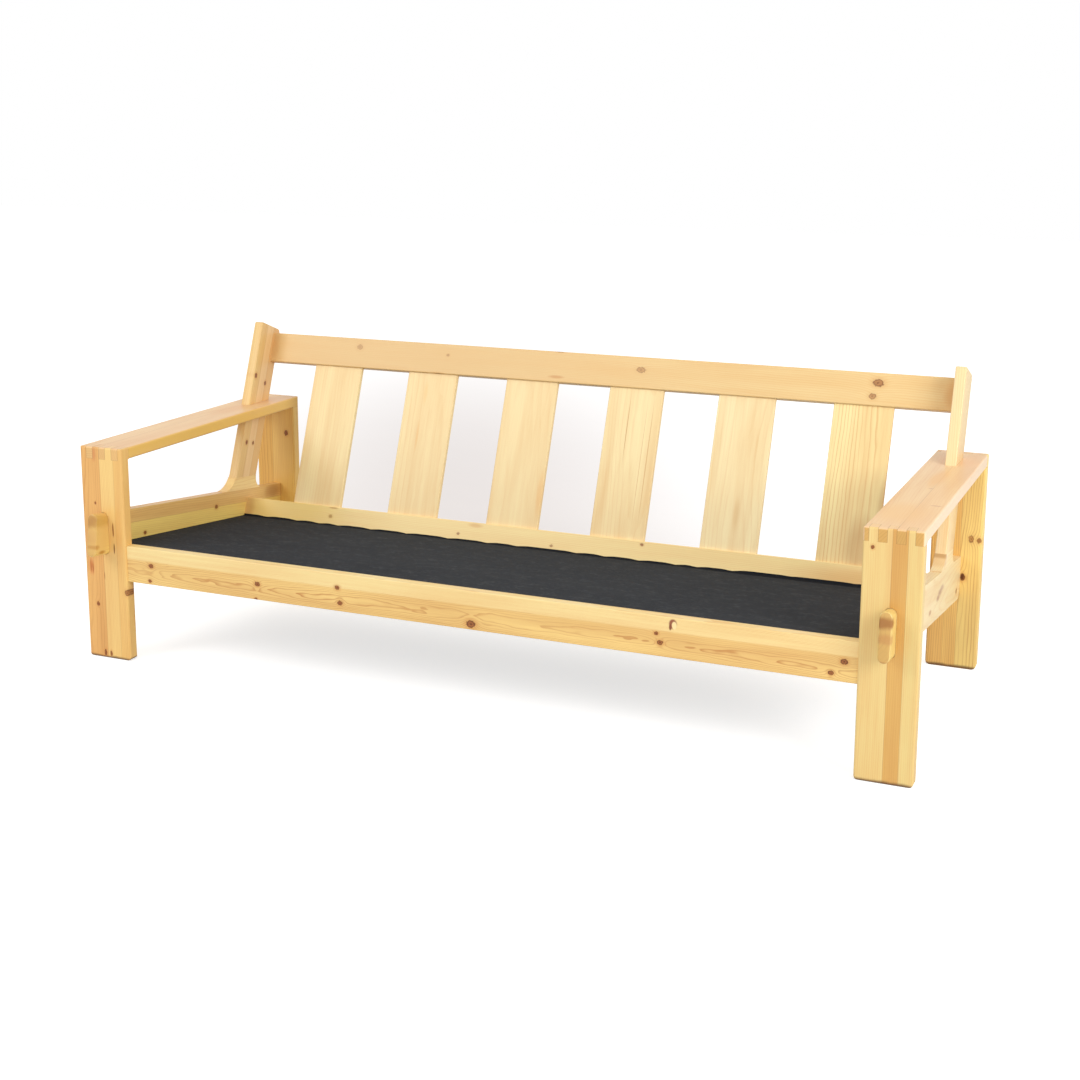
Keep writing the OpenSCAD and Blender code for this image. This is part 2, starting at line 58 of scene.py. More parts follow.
# The side pieces: their inner face and thickness, then the rail, the post and the knee block
SIDE_IN, SIDE_T = 0.9735, 0.027
RAIL_FALL, RAIL_H, RAIL_TOP = radians(6.6), 0.108, 0.3835
TENON_OUT, TENON_ROOT, RAIL_CORNER = 0.050, 0.97, 0.025
POST_Y, POST_D, POST_LEAN, POST_TOP = 0.650, 0.097, radians(20.6), 0.243
POST_FRONT_R, POST_REAR_R = 0.005, 0.012
KNEE_H, KNEE_FRONT_R, KNEE_REAR_R, KNEE_THIN = 0.036, 0.070, 0.030, 0.001
# How far the rear rail's front face and the slats' middle plane lie behind the posts' front edges
REAR_RAIL_V, SLAT_V = 0.070, 0.083
# The seat's slope and where its top starts, the cloth's thickness, its gap to the wood around it,
# the width of its bend at the rear, its hem, and the springs below it
SEAT_FALL, SEAT_Y, SEAT_Z = radians(6), 0.0323 - MID_Y, 0.2995
CLOTH_T, CLOTH_GAP, CLOTH_BEND, HEM = 0.0012, 0.0003, 0.004, 0.008
SPRINGS, SPRING_EDGE = 13, 0.020
# How far the whole cloth is lowered, how far it dips over a spring and how much more between two,
# and on which part of its length and which width at each side the dip fades out
SINK, DIP, DIP_BETWEEN, DIP_PART, DIP_SIDE = 0.0001, 0.0002, 0.0008, 1 / 12, 0.03
# Eased edges of the new pieces
RAIL_EASE, KNEE_EASE, TENON_EASE = 0.003, 0.0025, 0.004

# How high the cloth's rear edge stands along its length, and where the staples pull it down: a
# pull's reach, and its depth on the left and on the right of the change
HEM_LINE = ((-1.0, 0.0048), (-0.85, 0.0046), (-0.72, 0.0036), (-0.22, 0.0038), (-0.07, 0.0048),
            (0.25, 0.0044), (0.42, 0.0052), (0.47, 0.0056), (0.52, 0.0074), (1.0, 0.0080))
PULLS = (-0.90, -0.80, -0.727, -0.667, -0.563, -0.452, -0.326, -0.21, -0.122, 0.047, 0.127, 0.22,
         0.32, 0.377, 0.47, 0.62, 0.78, 0.90)
PULL_REACH, PULL_LEFT, PULL_RIGHT, PULL_CHANGE = 0.030, 0.0028, 0.0014, 0.5

# Directions of the slanted pieces
RAIL_LONG = Vector((0, cos(RAIL_FALL), -sin(RAIL_FALL)))
RAIL_UP = Vector((0, sin(RAIL_FALL), cos(RAIL_FALL)))
POST_LONG = Vector((0, sin(POST_LEAN), cos(POST_LEAN)))
POST_AFT = Vector((0, cos(POST_LEAN), -sin(POST_LEAN)))
SEAT_LONG = Vector((0, cos(SEAT_FALL), -sin(SEAT_FALL)))
SEAT_UP = Vector((0, sin(SEAT_FALL), cos(SEAT_FALL)))
RAIL_START = Vector((0, -MID_Y, RAIL_TOP))
BACK_START = Vector((0, POST_Y - MID_Y, ARM_H))
SEAT_START = Vector((0, SEAT_Y, SEAT_Z))


# Finishes -----------------------------------------------------------------------------------

def srgb(*levels):
    """A colour as a screen shows it, red, green and blue from 0 to 255, made linear."""
    return (*(v / 255 / 12.92 if v <= 10.3 else ((v / 255 + 0.055) / 1.055) ** 2.4
              for v in levels), 1.0)


WHITE = (1, 1, 1, 1)


class Signal:
    """A socket of a finish's nodes, used in plain arithmetic."""

    def __init__(self, finish, socket):
        self.finish, self.socket = finish, socket

    def maths(self, operation, *values):
        return self.finish.node("ShaderNodeMath", {"operation": operation},
                                dict(enumerate(values)))

    def __add__(self, other):
        return self.maths("ADD", self, other)

    def __sub__(self, other):
        return self.maths("SUBTRACT", self, other)

    def __rsub__(self, other):
        return self.maths("SUBTRACT", other, self)

    def __mul__(self, other):
        return self.maths("MULTIPLY", self, other)

    def __truediv__(self, other):
        return self.maths("DIVIDE", self, other)

    def __rtruediv__(self, other):
        return self.maths("DIVIDE", other, self)

    def __pow__(self, other):
        return self.maths("POWER", self, other)

    __radd__ = __add__
    __rmul__ = __mul__

    def size(self):
        return self.maths("ABSOLUTE", self)

    def root(self):
        return self.maths("SQRT", self)

    def fraction(self):
        return self.maths("FRACT", self)

    def sine(self):
        return self.maths("SINE", self)

    def most(self, other):
        return self.maths("MAXIMUM", self, other)

    def above(self, level):
        return self.maths("GREATER_THAN", self, level)

    def ease(self, start, end):
        """0 before start and 1 past end, in a smooth step. End may be below start."""
        return self.finish.node("ShaderNodeMapRange", {"interpolation_type": "SMOOTHSTEP"},
                                {"Value": self, "From Min": start, "From Max": end})


def most_of(old, new):
    """The greater of two signals, or the new one if there is none yet."""
    return new if old is None else old.most(new)


class Finish:
    """The nodes of a material, or of the world."""

    def __init__(self, owner):
        owner.use_nodes = True
        self.owner, self.tree = owner, owner.node_tree
        self.tree.nodes.clear()

    def node(self, kind, settings=None, values=None, output=0):
        made = self.tree.nodes.new(kind)
        for key, value in (settings or {}).items():
            setattr(made, key, value)
        for key, value in (values or {}).items():
            if isinstance(value, Signal):
                self.tree.links.new(value.socket, made.inputs[key])
            else:
                made.inputs[key].default_value = value
        return Signal(self, made.outputs[output]) if made.outputs else None

    def place(self):
        return self.node("ShaderNodeTexCoord", output="Object")

    def ray(self, kind):
        """1 for rays of this kind, else 0."""
        return self.node("ShaderNodeLightPath", output=f"Is {kind} Ray")

    def along(self, place, start, direction):
        """Distance of a place from start, measured along a direction."""
        off = self.node("ShaderNodeVectorMath", {"operation": "SUBTRACT"}, {0: place, 1: start})
        return self.node("ShaderNodeVectorMath", {"operation": "DOT_PRODUCT"},
                         {0: off, 1: direction}, "Value")

    def noise(self, x, y, z, detail=2.0, rough=0.5):
        """Smooth noise about zero, most of it within a quarter."""
        at = self.node("ShaderNodeCombineXYZ", values={0: x, 1: y, 2: z})
        return self.node("ShaderNodeTexNoise", values={
            "Vector": at, "Scale": 1.0, "Detail": detail, "Roughness": rough}) - 0.5

    def mix(self, amount, first, second):
        return self.node("ShaderNodeMix", {"data_type": "RGBA"},
                         {0: amount, 6: first, 7: second}, 2)

    def surface(self, colour, rough, height, lift, **constants):
        """The shader and its output, with the height made into a bump."""
        bump = self.node("ShaderNodeBump", values={
            "Strength": 1.0, "Distance": lift, "Height": height})
        values = {"Base Color": colour, "Roughness": rough, "Normal": bump}
        values.update({key.replace("_", " "): value for key, value in constants.items()})
        shader = self.node("ShaderNodeBsdfPrincipled", values=values)
        self.node("ShaderNodeOutputMaterial", values={"Surface": shader})
        return self.owner


# Colours that all pine shares. A cut end has a tone and its amount.
KNOT_CORE, KNOT_RIM, KNOT_HALO = srgb(158, 90, 38), srgb(92, 44, 14), srgb(206, 136, 66)
GLUE_LINE, SEAM = srgb(150, 104, 62), srgb(120, 78, 42)
CUT_END = (srgb(206, 158, 98), 0.6)


def spots(f, tone, marks, a, c, start, along, across, streak):
    """Oval marks on a face. One with an amount well over 1 has a crisp edge."""
    for spot, reach, width, colour, amount in marks:
        off = spot - start
        far = (((a - off.dot(along)) / reach) ** 2 + ((c - off.dot(across)) / width) ** 2).root()
        tone = f.mix((far + streak * 0.7).ease(1.0, 0.25) * amount, tone, colour)
    return tone


def pine(name, start, along, across, *, pale, dark, seed=0.0, pith=(0.02, 0.09), tilt=(0.0, 0.0),
         pace=0.0045, lines=0.55, wander=0.012, waver=0.0007, strips=(), soft=0.0, knots=(),
         washes=(), stains_and_painted_light=(), corners=(), cut=CUT_END, rough=0.40):
    """Planed pine. Year rings are cylinders about a pith that runs along the grain, at a distance
    across and below the board; tilt turns the pith, which draws flames on the face. Strips are
    glued on from an edge across the board, with tones and a heart of their own. Washes tone the
    wood, and stains_and_painted_light also its cut ends: real marks, and painted shade and
    highlights. Corners are the finger joints, whose seams show as fine lines: the arm's side, the
    shoulder where the fingers start, the way from there into the board, and 1 if the other board
    has the outermost finger."""
    f = Finish(bpy.data.materials.new(name))
    place = f.place()
    a = f.along(place, start, along)
    c = f.along(place, start, across)
    d = f.along(place, start, along.cross(across))

    sway = f.noise(a * 1.1 + seed, c * 5.0, d * 5.0 + seed, 2.0)
    heave = f.noise(a * 1.4 - seed, c * 6.0 + 3.7, d * 6.0, 1.0)

    # A soft edge between strips is sapwood's
    heart_c, heart_d = pith
    body, flame, joint = pale, dark, None
    for edge, strip_pale, strip_dark, jump in strips:
        past = c.above(edge)
        heart_c = past * jump + heart_c
        if soft:
            past = (c + heave * soft * 3.0).ease(edge - soft, edge + soft)
        else:
            line = (c - edge).size().ease(0.0007, 0.0002)
            joint = most_of(joint, line)
        body = f.mix(past, body, strip_pale)
        flame = f.mix(past, flame, strip_dark)

    beside = c - heart_c + sway * wander * 4.0 + a * tilt[0]
    below = d - heart_d + heave * wander * 4.0 + a * tilt[1]
    ring = (beside * beside + below * below).root()
    ring = ring + f.noise(a * 16.0, c * 70.0, d * 70.0 + seed, 1.0) * waver * 4.0

    # Rings bend round a knot, whose branch runs through the board
    core = rim = halo = None
    if knots:
        rough_edge = f.noise(a * 190.0, c * 190.0, d * 60.0 + seed, 2.0) * 0.9
    for spot, radius, depth, flat in knots:
        off = spot - start
        ka, kc = off.dot(along), off.dot(across)
        far = (((a - ka) * (0.80 * flat)) ** 2 + (c - kc) ** 2).root() / radius
        pull = far * far * 0.20 + 1.0
        ring = ring + radius * 1.3 / (pull * pull)
        ragged = far + rough_edge
        inside = ragged.ease(1.10, 0.75) * depth
        bark = (ragged - 0.85).size().ease(0.28, 0.02).most(ragged.ease(0.50, 0.10)) * depth
        core, rim = most_of(core, inside), most_of(rim, bark)
        halo = most_of(halo, far.ease(2.8, 0.9) * depth)

    year = ring / pace
    phase = year.fraction()
    late = phase.ease(0.45, 0.93) * phase.ease(1.0, 0.94)
    late = late * late
    # Some years are faint, and the lines fade in and out along the board
    faint = f.noise(year * 0.37 + seed, a * 0.9, seed, 1.0) * 1.9 + 0.62
    late = late * faint.most(0.10) * lines

    fibre = f.noise(a * 14.0, c * 620.0, d * 620.0, 2.0, 0.6)
    streak = f.noise(a * 2.3 + seed, c * 34.0, d * 34.0 + seed, 3.0, 0.55)
    cloud = f.noise(a * 2.0 - seed, c * 9.0, d * 9.0, 2.0)

    tone = f.mix(late, body, flame)
    tone = f.mix((streak * 0.9 + cloud * 0.7 + 0.16).most(0.0), tone, flame)
    tone = f.mix((fibre * 0.55 + 0.02).most(0.0), tone, flame)
    if halo is not None:
        tone = f.mix(halo * halo * 0.50, tone, KNOT_HALO)
        tone = f.mix(core * 0.92, tone, KNOT_CORE)
        tone = f.mix(rim * 0.78, tone, KNOT_RIM)
    if joint is not None:
        tone = f.mix(joint * 0.38, tone, GLUE_LINE)
    tone = spots(f, tone, washes, a, c, start, along, across, streak)

    # Cut ends drink more finish and show their rings
    true_normal = f.node("ShaderNodeNewGeometry", output="True Normal")
    facing = f.node("ShaderNodeVectorMath", {"operation": "DOT_PRODUCT"},
                    {0: true_normal, 1: along}, "Value").size()
    open_end = facing.ease(0.82, 0.97)
    end_tone, end_amount = cut
    end_ring = tuple(v * 0.52 for v in end_tone[:3]) + (1.0,)
    ends = f.mix((late + cloud * 0.8).most(0.0), end_tone, end_ring)
    tone = f.mix(open_end * end_amount, tone, ends)
    # Stains, with the painted shade and highlights among them, cover the cut ends too
    tone = spots(f, tone, stains_and_painted_light, a, c, start, along, across, streak)

    for side, shoulder, inward, other_first in corners:
        # Seams between the fingers of a corner joint, and across the ends of the other board's
        place_no = (c * -side + ARM_HALF) / FINGER
        near = ((place_no + 0.5).fraction() - 0.5).size() * FINGER
        past = (a - shoulder) * inward
        between = near.ease(0.0006, 0.0002) * past.ease(0.0004, -0.0002)
        others = (place_no * 0.5 + other_first * 0.5).fraction().above(0.5)
        ends_seam = past.size().ease(0.0006, 0.0002) * others
        seam = (between * place_no.ease(0.15, 0.30)).most(ends_seam)
        tone = f.mix(seam * 0.55, tone, SEAM)

    sheen = rough + fibre * 0.10 + late * 0.05 + open_end * 0.12
    height = fibre * 0.55 + late * 0.25 + streak * 0.2
    if core is not None:
        height = height + rim * -0.5 + core * 0.3
    return f.surface(tone, sheen, height, 0.00016, Specular_IOR_Level=0.42,
                     Coat_Weight=0.10, Coat_Roughness=0.22)


# The width of a thread, and where the painted shade of the folded rear edge starts along the seat
THREAD, HEM_PAINTED_SHADE_START = 0.0013, 0.562


def deck_cloth():
    """Charcoal cloth of a plain close weave, a little dusty and slightly uneven in tone."""
    f = Finish(bpy.data.materials.new("deck_cloth_charcoal"))
    place = f.place()
    u = f.along(place, Vector(), X)
    v = f.along(place, SEAT_START, SEAT_LONG)
    # Warp and weft pass over each other by turns
    turns = pi / THREAD
    over = (u * turns).sine() * (v * turns).sine() * 0.5 + 0.5
    thread = f.noise(u * 420.0, v * 60.0, 0.0, 2.0) + f.noise(u * 60.0, v * 420.0, 4.0, 2.0)
    cloud = f.noise(u * 3.0, v * 7.0, 1.0, 3.0)
    fold = f.noise(u * 9.0, v * 1.5, 7.0, 2.0)
    tone = f.mix((over * 0.42 + thread * 0.5 + 0.12).most(0.0), srgb(36, 39, 43), srgb(66, 69, 75))
    tone = f.mix((cloud * 0.9 + fold * 0.4 + 0.20).most(0.0), tone, srgb(59, 62, 66))
    # Dust in short streaks, and painted shade on the folded rear edge
    dust = f.noise(u * 24.0, v * 34.0, 9.0, 3.0) * 0.9 + f.noise(u * 90.0, v * 130.0, 3.0, 2.0)
    tone = f.mix((dust * 1.2 - 0.02).most(0.0), tone, srgb(88, 89, 92))
    tone = f.mix(v.ease(HEM_PAINTED_SHADE_START, HEM_PAINTED_SHADE_START + 0.010) * 0.75, tone, srgb(18, 19, 22))
    return f.surface(tone, 0.92 + thread * 0.08, over + thread * 0.8 + fold * 1.5, 0.00035,
                     Specular_IOR_Level=0.12)


def steel(name, colour, rough, along):
    """Drawn or rolled steel, with fine lines along the work."""
    f = Finish(bpy.data.materials.new(name))
    place = f.place()
    u = f.along(place, Vector(), along)
    v = f.along(place, Vector(), along.cross(Vector((0.3, 0.2, 1.0)).normalized()))
    w = f.along(place, Vector(), Z)
    line = f.noise(u * 8.0, v * 260.0, w * 260.0, 2.0)
    dull = f.noise(u * 30.0, v * 30.0, w * 30.0, 3.0)
    tone = f.mix((line * 0.7 + dull * 1.3 + 0.2).most(0.0), srgb(*colour),
                 srgb(*(c * 0.62 for c in colour)))
    return f.surface(tone, rough + dull * 0.22 + line * 0.08, line, 0.00004, Metallic=1.0)


FLAME, RUST, CLAY = srgb(216, 152, 84), srgb(190, 124, 62), srgb(222, 162, 104)
# Honey and cream are wood tones; the third is painted shade for the right armrest's shadow on a
# slat
HONEY, CREAM, ARM_PAINTED_SHADOW = srgb(224, 168, 98), srgb(249, 231, 182), srgb(200, 152, 96)
BATTEN, BATTEN_DARK = srgb(236, 206, 158), srgb(204, 152, 96)
LEG_END = (srgb(243, 203, 152), 0.85)
ARM_END, ARM_END_PALE = (srgb(206, 158, 78), 0.88), (srgb(231, 184, 114), 0.85)
TENON_END, KNEE_END = (srgb(203, 158, 88), 0.85), (srgb(214, 170, 112), 0.85)
# Painted shade for the legs' eased lower edges
FOOT_PAINTED_SHADE = srgb(104, 70, 40)


# Places on a face, by two distances

def on_front(x, z):
    return Vector((x, 0, z))


def on_side(y, z):
    return Vector((0, y, z))


def on_top(x, y):
    return Vector((x, y, ARM_H))


def on_back(x, u):
    return BACK_START + X * x + POST_LONG * u


def on_post(v, u):
    return BACK_START + POST_AFT * v + POST_LONG * u


def on_rail(a, c):
    return RAIL_START + RAIL_LONG * a + RAIL_UP * c


def at(face, *marks):
    """Marks listed by two distances on a face, then what describes them."""
    return [(face(*m[:2]), *m[2:]) for m in marks]


def knots_at(face, *marks):
    """Knots listed by two distances on a face, a radius, and where need be a depth of tone and a
    flatness along the grain."""
    return [(face(*m[:2]), *(m[2:] + (1.0, 1.0))[:3]) for m in marks]


def leg_start(side, y):
    return Vector((side * ARM_MID, y, 0))


def foot_painted_shade(side):
    """Painted shade on a leg's eased lower edge, which faces the floor."""
    return on_front(side * ARM_MID, 0.0), 0.0100, 0.30, FOOT_PAINTED_SHADE, 0.9


finishes = {
    "right_front_leg": pine(
        "leg_pine_right_front", leg_start(1, FRONT_MID), Z, X, pale=srgb(231, 203, 134),
        dark=FLAME, seed=2.1, pith=(-0.10, 0.02), pace=0.0042, lines=0.40, wander=0.008,
        strips=((-0.0019, srgb(219, 173, 96), RUST, 0.21),
                (0.0305, srgb(230, 208, 138), FLAME, -0.32)),
        knots=knots_at(on_front, (0.945, 0.508, 0.0035)), stains_and_painted_light=[foot_painted_shade(1)],
        corners=[(1, LEG_SHOULDER, -1, 1)], cut=LEG_END),
    "left_front_leg": pine(
        "leg_pine_left_front", leg_start(-1, FRONT_MID), Z, X, pale=srgb(234, 180, 106), dark=RUST,
        seed=5.3, pith=(-0.06, 0.05), pace=0.0040, lines=0.5, wander=0.010,
        strips=((-0.0055, srgb(245, 208, 131), FLAME, 0.24),
                (0.036, srgb(242, 200, 120), FLAME, -0.3)),
        knots=knots_at(on_front, (-1.010, 0.406, 0.0026), (-1.0164, 0.1415, 0.0042),
                       (-0.926, 0.180, 0.0062, 0.8), (-1.0005, 0.014, 0.0036, 1.0, 0.6),
                       (-0.983, 0.0135, 0.0032, 0.9, 0.6)),
        stains_and_painted_light=at(on_front, (-0.9597, 0.3405, 0.022, 0.0023, srgb(146, 76, 22), 2.0),
                  (-0.9585, 0.292, 0.017, 0.0023, srgb(128, 80, 26), 1.9),
                  (-0.992, 0.218, 0.015, 0.0016, srgb(170, 112, 56), 1.2),
                  (-1.0315, 0.240, 0.032, 0.0120, srgb(224, 154, 88), 1.0),
                  (-1.0335, 0.240, 0.024, 0.0032, srgb(188, 108, 46), 1.0),
                  (-1.0275, 0.236, 0.022, 0.0030, srgb(182, 104, 44), 1.0),
                  (-1.009, 0.532, 0.026, 0.010, srgb(214, 146, 86), 0.9)) + [foot_painted_shade(-1)],
        corners=[(-1, LEG_SHOULDER, -1, 0)], cut=LEG_END),
    "right_rear_leg": pine(
        "leg_pine_right_rear", leg_start(1, REAR_MID), Z, X, pale=srgb(242, 194, 113), dark=RUST,
        seed=8.2, pith=(0.04, -0.07), pace=0.0046, lines=0.70, wander=0.012,
        strips=((-0.022, srgb(249, 206, 121), RUST, 0.15),
                (0.010, srgb(255, 226, 140), RUST, -0.2)),
        stains_and_painted_light=[foot_painted_shade(1)]
        + at(on_front, (1.0055, 0.238, 0.009, 0.0048, srgb(92, 48, 12), 1.6)),
        knots=knots_at(on_front, (1.022, 0.337, 0.0060, 0.65, 0.8), (1.041, 0.334, 0.0055, 0.75),
                       (1.006, 0.237, 0.0056, 1.0, 0.8)),
        corners=[(1, LEG_SHOULDER, -1, 0)], cut=LEG_END),
    "left_rear_leg": pine(
        "leg_pine_left_rear", leg_start(-1, REAR_MID), Z, X, pale=srgb(238, 190, 98), dark=RUST,
        seed=3.9, pith=(0.03, 0.08), pace=0.0046, lines=0.55, wander=0.012,
        strips=((-0.01, srgb(244, 204, 114), FLAME, 0.2),),
        knots=knots_at(on_front, (-0.950, 0.443, 0.006)), stains_and_painted_light=[foot_painted_shade(-1)],
        corners=[(-1, LEG_SHOULDER, -1, 1)], cut=LEG_END),
    "right_armrest": pine(
        "armrest_pine_right", on_top(ARM_MID, 0), Y, X, pale=srgb(244, 211, 164), dark=CLAY,
        seed=6.6, pith=(0.05, 0.10), tilt=(0.0, 0.03), pace=0.0055, lines=0.30, wander=0.014,
        strips=((0.006, srgb(245, 208, 158), CLAY, 0.16),),
        washes=at(on_top, (0.975, -0.25, 0.13, 0.08, srgb(240, 192, 128), 0.6)),
        # The first stain is a painted highlight along the outer side face and its eased edge.
        stains_and_painted_light=at(on_top, (1.052, 0.0, 3.0, 0.006, srgb(244, 217, 184), 0.9),
                  (1.029, -0.156, 0.0035, 0.017, srgb(190, 128, 92), 0.8),
                  (0.989, 0.0045, 0.0035, 0.008, srgb(190, 128, 92), 0.6),
                  (0.985, 0.12, 0.13, 0.024, srgb(238, 180, 106), 0.6)),
        corners=[(1, FRONT_LEG, 1, 0), (1, REAR_LEG, -1, 1)], cut=ARM_END),
    "left_armrest": pine(
        "armrest_pine_left", on_top(-ARM_MID, 0), Y, X, pale=srgb(244, 206, 153), dark=CLAY,
        seed=1.7, pith=(-0.03, 0.12), tilt=(0.0, -0.02), pace=0.0055, lines=0.32, wander=0.014,
        strips=((-0.01, srgb(242, 202, 149), CLAY, -0.18),),
        stains_and_painted_light=at(on_top, (-0.99, 0.18, 0.12, 0.05, srgb(232, 172, 106), 0.45),
                  # The second stain is painted shade along the inner side face and its eased edge.
                  (-0.922, 0.0, 3.0, 0.006, srgb(235, 189, 95), 1.0)),
        corners=[(-1, FRONT_LEG, 1, 1), (-1, REAR_LEG, -1, 0)], cut=ARM_END_PALE),
    "right_side_rail": pine(
        "side_pine_right_rail", RAIL_START, RAIL_LONG, RAIL_UP, pale=CREAM, dark=HONEY,
        seed=4.4, pith=(-0.03, 0.9), tilt=(0.03, 0.0), pace=0.0060, lines=0.35, wander=0.02,
        knots=knots_at(on_side, (0.362, 0.215, 0.0060)),
        washes=at(on_rail, (-0.03, -0.054, 0.06, 0.12, srgb(225, 194, 118), 1.6)),
        stains_and_painted_light=at(on_rail, (-0.044, -0.024, 0.03, 0.016, srgb(164, 112, 56), 1.1),
                  (-0.044, -0.058, 0.03, 0.014, srgb(190, 134, 76), 0.6),
                  (-0.044, -0.108, 0.03, 0.006, srgb(190, 134, 76), 0.6))
        + at(on_side, (0.150, 0.282, 0.036, 0.012, srgb(200, 160, 130), 0.8),
             (0.124, 0.277, 0.040, 0.013, srgb(186, 142, 112), 0.9),
             (0.100, 0.271, 0.030, 0.011, srgb(178, 130, 100), 0.9),
             (0.003, 0.262, 0.022, 0.009, srgb(200, 148, 96), 0.9)), cut=TENON_END),
    "left_side_rail": pine(
        "side_pine_left_rail", RAIL_START, RAIL_LONG, RAIL_UP, pale=srgb(251, 219, 124),
        dark=srgb(205, 150, 82), seed=7.5, pith=(-0.12, -1.02), tilt=(0.02, 0.0), pace=0.0050,
        lines=0.45, wander=0.012, strips=((-0.036, srgb(238, 196, 120), RUST, 0.22),),
        knots=knots_at(on_side, (0.083, 0.293, 0.0055), (-0.241, 0.297, 0.0045)),
        # The first stain is painted shade where the rail meets the rear leg.
        stains_and_painted_light=at(on_rail, (0.765, -0.018, 0.055, 0.024, srgb(176, 110, 58), 0.5),
                  (-0.03, -0.054, 0.075, 0.09, srgb(224, 181, 104), 0.95),
                  (-0.03, -0.018, 0.09, 0.021, srgb(208, 163, 82), 1.2),
                  (-0.047, -0.018, 0.007, 0.026, srgb(182, 128, 66), 0.9),
                  (-0.047, -0.062, 0.006, 0.036, srgb(212, 160, 92), 0.7),
                  (-0.056, -0.066, 0.012, 0.010, srgb(192, 136, 68), 0.8),
                  (-0.040, -0.083, 0.016, 0.008, srgb(198, 142, 68), 0.8),
                  (-0.018, -0.098, 0.018, 0.007, srgb(190, 132, 52), 0.9)), cut=TENON_END),
    "right_knee_block": pine(
        "side_pine_right_knee", RAIL_START, RAIL_LONG, RAIL_UP, pale=CREAM, dark=HONEY,
        seed=9.4, pith=(0.05, 0.93), pace=0.0045, lines=0.4,
        stains_and_painted_light=at(on_rail, (0.560, 0.022, 0.034, 0.024, srgb(222, 180, 124), 0.6),
                  (0.572, 0.033, 0.016, 0.010, srgb(192, 146, 90), 0.8)),
        cut=KNEE_END),
    "left_knee_block": pine(
        "side_pine_left_knee", RAIL_START, RAIL_LONG, RAIL_UP, pale=srgb(252, 220, 147),
        dark=FLAME, seed=2.8, pith=(0.07, -1.05), pace=0.0045, lines=0.35),
    "right_back_post": pine(
        "side_pine_right_post", BACK_START, POST_LONG, POST_AFT, pale=srgb(246, 219, 166),
        dark=HONEY, seed=5.9, pith=(-0.03, -0.92), pace=0.0050, lines=0.38, wander=0.012),
    "left_back_post": pine(
        "side_pine_left_post", BACK_START, POST_LONG, POST_AFT, pale=srgb(236, 202, 134),
        dark=FLAME, seed=3.3, pith=(0.06, 1.04), pace=0.0048, lines=0.5, wander=0.012,
        strips=((0.030, srgb(250, 218, 160), FLAME, 0.2),
                (0.062, srgb(240, 196, 130), FLAME, 0.3)),
        knots=knots_at(on_post, (0.010, 0.088, 0.0055), (0.063, 0.077, 0.005),
                       (0.020, -0.104, 0.005), (0.053, -0.100, 0.004))),
    "front_rail": pine(
        "rail_pine_front", Vector((0, -0.37, 0.209)), X, Z, pale=srgb(243, 206, 129), dark=RUST,
        seed=6.1, pith=(0.030, 0.040), tilt=(0.004, 0.007), pace=0.0026, lines=0.85, wander=0.009,
        waver=0.0011, strips=((0.0585, srgb(246, 222, 156), HONEY, 0.25),), soft=0.003,
        knots=knots_at(on_front, (-0.852, 0.258, 0.0056), (-0.857, 0.219, 0.0040),
                       (-0.541, 0.249, 0.0058), (-0.546, 0.211, 0.0034), (-0.318, 0.267, 0.0052),
                       (-0.311, 0.230, 0.0054), (0.033, 0.223, 0.0088), (0.481, 0.261, 0.0040),
                       (0.490, 0.241, 0.0054), (0.895, 0.254, 0.0060), (0.868, 0.226, 0.0050)),
        stains_and_painted_light=at(on_front, (0.519, 0.286, 0.011, 0.014, srgb(150, 88, 60), 2.4),
                  (0.522, 0.283, 0.007, 0.011, srgb(248, 220, 160), 2.6),
                  (0.513, 0.279, 0.004, 0.009, srgb(134, 76, 46), 2.0))),
    "top_rail": pine(
        "rail_pine_top", BACK_START, X, POST_LONG, pale=srgb(237, 205, 145), dark=HONEY,
        seed=1.2, pith=(0.02, -0.18), tilt=(0.02, 0.01), pace=0.0046, lines=0.5, wander=0.012,
        knots=knots_at(on_back, (-0.687, 0.203, 0.0072, 0.75), (-0.409, 0.197, 0.0036, 0.85),
                       (-0.431, 0.141, 0.0042, 1.0, 0.4), (-0.078, 0.2285, 0.0030, 0.8, 0.35),
                       (0.157, 0.193, 0.0078, 0.45, 0.8), (0.780, 0.202, 0.0092, 0.75, 0.85),
                       (0.769, 0.167, 0.0074, 0.6)),
        washes=at(on_back, (-0.60, 0.186, 0.90, 0.14, srgb(222, 180, 118), 0.55)),
        stains_and_painted_light=at(on_back, (-0.08, 0.158, 0.03, 0.006, srgb(206, 146, 84), 0.7),
                  # Painted shadow of the right post on the rail's right end, and the same
                  # darkening at its left end
                  (0.965, 0.186, 0.03, 0.06, srgb(214, 158, 92), 0.6),
                  (-0.965, 0.186, 0.02, 0.06, srgb(214, 158, 92), 0.4))),
    "rear_rail": pine(
        "rail_pine_rear", BACK_START, X, POST_LONG, pale=srgb(255, 229, 161),
        dark=srgb(240, 196, 130), seed=7.9, pith=(-0.34, -0.06), tilt=(0.01, 0.012), pace=0.0046,
        lines=0.6, wander=0.010,
        knots=knots_at(on_back, (-0.695, -0.282, 0.0044, 0.75), (-0.298, -0.289, 0.0034, 0.65),
                       (-0.025, -0.293, 0.0036, 0.6), (0.224, -0.263, 0.0036, 0.75)),
        washes=at(on_back, (-0.84, -0.29, 0.22, 0.09, srgb(250, 214, 112), 0.6)),
        # The first stain is a painted shadow of the left post on the rail's left end.
        stains_and_painted_light=at(on_back, (-0.965, -0.30, 0.030, 0.07, srgb(200, 146, 84), 0.55),
                  (-0.702, -0.3045, 0.008, 0.003, srgb(196, 140, 76), 0.7),
                  (-0.689, -0.258, 0.018, 0.003, srgb(196, 140, 76), 0.7),
                  (-0.25, -0.262, 0.03, 0.008, srgb(220, 160, 92), 0.5),
                  (0.80, -0.30, 0.22, 0.06, HONEY, 0.6))),
}

